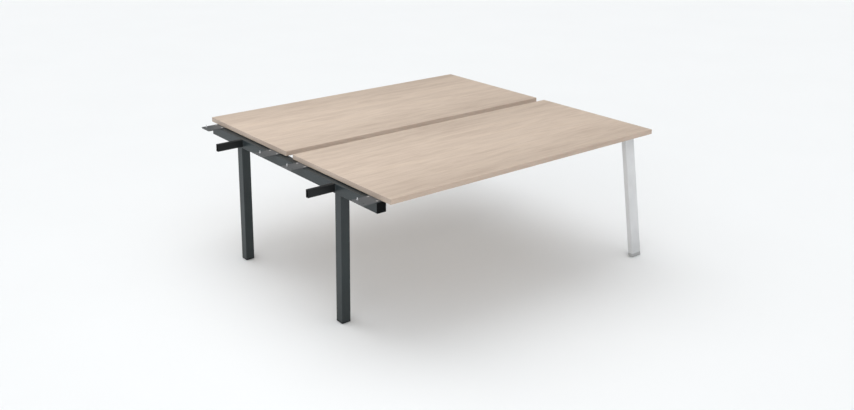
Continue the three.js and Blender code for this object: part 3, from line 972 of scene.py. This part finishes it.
def add_link_stud(place_name):
    """A stud with a nut in a free bracket hole, in line with a screw on the other side of the beam."""
    low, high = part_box(f"top_bracket_{place_name}")
    seat = high.z - low.z
    top = seat + STUD_ABOVE
    tip = circle(STUD_RADIUS - 2 * STUD_THREAD_DEPTH)
    loops = stack([(tip, -STUD_BELOW - STUD_PITCH / 2)])
    loops += threaded_loops(STUD_RADIUS, STUD_THREAD_DEPTH, STUD_PITCH, -STUD_BELOW, top)
    loops += stack([(tip, top + STUD_PITCH / 2)])
    shape = lofted(loops)
    nut_top = seat + NUT_HEIGHT
    nut = ((circle(NUT_WIDTH / 2), seat), (hexagon(NUT_WIDTH), seat + NUT_CHAMFER),
           (hexagon(NUT_WIDTH), nut_top - NUT_CHAMFER), (circle(NUT_WIDTH / 2), nut_top),
           (circle(STUD_RADIUS), nut_top), (circle(STUD_RADIUS), seat))
    loft(shape, stack(nut), closed=True)
    y = (low.y + high.y) / 2 + BRACKET_HOLE_SPACING / 2
    place = Matrix.Translation((low.x + BRACKET_HOLE_EDGE, y, low.z))
    add_piece(f"link_stud_{place_name}", shape, zinc, place=place)


for place_name in PLACES:
    for index in (1, 2):
        add_bolt(f"countersunk_bolt_{place_name}_{index}", f"bracket_bolt_{place_name}_{index}")
        add_pan_screw(f"pan_screw_{place_name}_{index}", f"top_screw_{place_name}_{index}")
    add_pan_screw(f"end_pan_screw_{place_name}", f"end_top_screw_{place_name}")
    add_link_stud(place_name)

for side in SIDES:
    add_pan_screw(f"rail_locking_screw_{side}", f"connector_screw_{side}")
    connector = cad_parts[f"rail_connector_{side}"]
    connector.data.materials.clear()
    connector.data.materials.append(zinc)


# Weld beads where tubes meet

def leg_beads(shape, y_low, y_high, x_low, x_high, z):
    """Beads round the top of a leg: in the corners under the beam, and flush with the beam's faces."""
    for y, outward in ((y_low, -1), (y_high, 1)):
        start = (x_low + TUBE_RADIUS, y, z)
        end = (x_high - TUBE_RADIUS, y, z)
        weld_bead(shape, start, end, Vector((0, outward, 0)), DOWN)
    for x, outward in ((x_low, -1), (x_high, 1)):
        start = (x, y_low + TUBE_RADIUS, z)
        end = (x, y_high - TUBE_RADIUS, z)
        weld_bead(shape, start, end, Vector((outward, 0, 0)), DOWN, flush=True)


def tube_end_beads(shape, node, x):
    """Beads down both sides of a tube and under it, where it meets a beam's left face."""
    middle = centre_of(node).y
    half = rail_width / 2
    bottom = frame_top - rail_height
    for outward in (-1, 1):
        y = middle + outward * half
        start = (x, y, frame_top - TUBE_RADIUS)
        end = (x, y, bottom + TUBE_RADIUS)
        weld_bead(shape, start, end, Vector((0, outward, 0)), LEFT)
    start = (x, middle - half + TUBE_RADIUS, bottom)
    end = (x, middle + half - TUBE_RADIUS, bottom)
    weld_bead(shape, start, end, DOWN, LEFT)


def add_shared_welds(side):
    low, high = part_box(f"shared_leg_{side}")
    shape = bmesh.new()
    leg_beads(shape, low.y, high.y, low.x, high.x, high.z)
    tube_end_beads(shape, f"link_arm_{side}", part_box("shared_crossbeam")[0].x)
    add_piece(f"shared_frame_welds_{side}", shape, anthracite, sharp=SHARP_WELD_EDGE)


def add_end_welds(side, sign):
    low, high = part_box(f"end_leg_{side}")
    inner = high.y if sign < 0 else low.y
    outer = inner + sign * leaning_span(f"end_leg_{side}")
    shape = bmesh.new()
    leg_beads(shape, min(inner, outer), max(inner, outer), low.x, high.x, high.z)
    tube_end_beads(shape, f"rail_{side}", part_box("end_crossbeam")[0].x)
    add_piece(f"end_frame_welds_{side}", shape, pale_grey, sharp=SHARP_WELD_EDGE)


for side, sign in SIDES.items():
    add_shared_welds(side)
    add_end_welds(side, sign)


# Floor, light and camera

def add_floor():
    shape = bmesh.new()
    bmesh.ops.create_grid(shape, x_segments=FLOOR_SEGMENTS, y_segments=FLOOR_SEGMENTS, size=FLOOR_SIZE / 2)
    mesh = bpy.data.meshes.new("floor")
    shape.to_mesh(mesh)
    shape.free()
    mesh.materials.append(pale_floor("pale_floor", FLOOR_TINT))
    floor = bpy.data.objects.new("floor", mesh)
    floor.location.z = -FLOOR_DROP
    bpy.context.scene.collection.objects.link(floor)


def add_lamp(name, light, rotation, place=(0, 0, 0)):
    lamp = bpy.data.objects.new(name, light)
    lamp.location = place
    lamp.rotation_mode = "QUATERNION"
    lamp.rotation_quaternion = rotation
    bpy.context.scene.collection.objects.link(lamp)
    return lamp


def add_softbox(name, place, target, size, power):
    light = bpy.data.lights.new(name, "AREA")
    light.shape = "DISK"
    light.size = size
    light.energy = power
    beam = Vector(target) - Vector(place)
    lamp = add_lamp(name, light, beam.to_track_quat("-Z", "Y"), place)
    lamp.visible_camera = False


def add_far_light(name, source, spread, strength):
    light = bpy.data.lights.new(name, "SUN")
    light.angle = spread
    light.energy = strength
    add_lamp(name, light, Vector(source).to_track_quat("Z", "Y"))


def studio_world():
    """A pale dome with a dark flag, and an even backdrop where the camera looks past the floor."""
    world = bpy.data.worlds.new("studio")
    world.use_nodes = True
    tree = world.node_tree
    direction = tree.nodes.new("ShaderNodeTexCoord").outputs["Generated"]
    towards = tree.nodes.new("ShaderNodeVectorMath")
    towards.operation = "DOT_PRODUCT"
    towards.inputs[1].default_value = (math.sin(FLAG_BEARING) * math.cos(FLAG_ELEVATION),
                                       math.cos(FLAG_BEARING) * math.cos(FLAG_ELEVATION),
                                       math.sin(FLAG_ELEVATION))
    tree.links.new(direction, towards.inputs[0])
    sky = ramp(tree, towards.outputs["Value"],
               (math.cos(FLAG_EDGE), SKY_LEVEL), (math.cos(FLAG_CORE), FLAG_LEVEL))
    seen = tree.nodes.new("ShaderNodeMix")
    seen.data_type = "RGBA"
    seen.inputs["B"].default_value = (BACKDROP_LEVEL, BACKDROP_LEVEL, BACKDROP_LEVEL, 1)
    tree.links.new(tree.nodes.new("ShaderNodeLightPath").outputs["Is Camera Ray"], seen.inputs["Factor"])
    tree.links.new(sky, seen.inputs["A"])
    tree.links.new(seen.outputs["Result"], tree.nodes["Background"].inputs["Color"])
    return world


def add_camera():
    data = bpy.data.cameras.new("camera")
    data.lens = CAMERA_LENS
    data.shift_x, data.shift_y = CAMERA_SHIFT
    camera = bpy.data.objects.new("camera", data)
    camera.location = CAMERA_PLACE
    camera.rotation_euler = (TURN / 4 - CAMERA_PITCH, 0, -CAMERA_YAW)
    bpy.context.scene.collection.objects.link(camera)
    bpy.context.scene.camera = camera


add_floor()
add_softbox("key_softbox", KEY_PLACE, KEY_TARGET, KEY_SIZE, KEY_POWER)
add_far_light("skylight", SKYLIGHT_FROM, SKYLIGHT_SPREAD, SKYLIGHT_STRENGTH)
add_far_light("low_fill", FILL_FROM, FILL_SPREAD, FILL_STRENGTH)
bpy.context.scene.world = studio_world()
bpy.context.scene.view_settings.view_transform = "Standard"
add_camera()
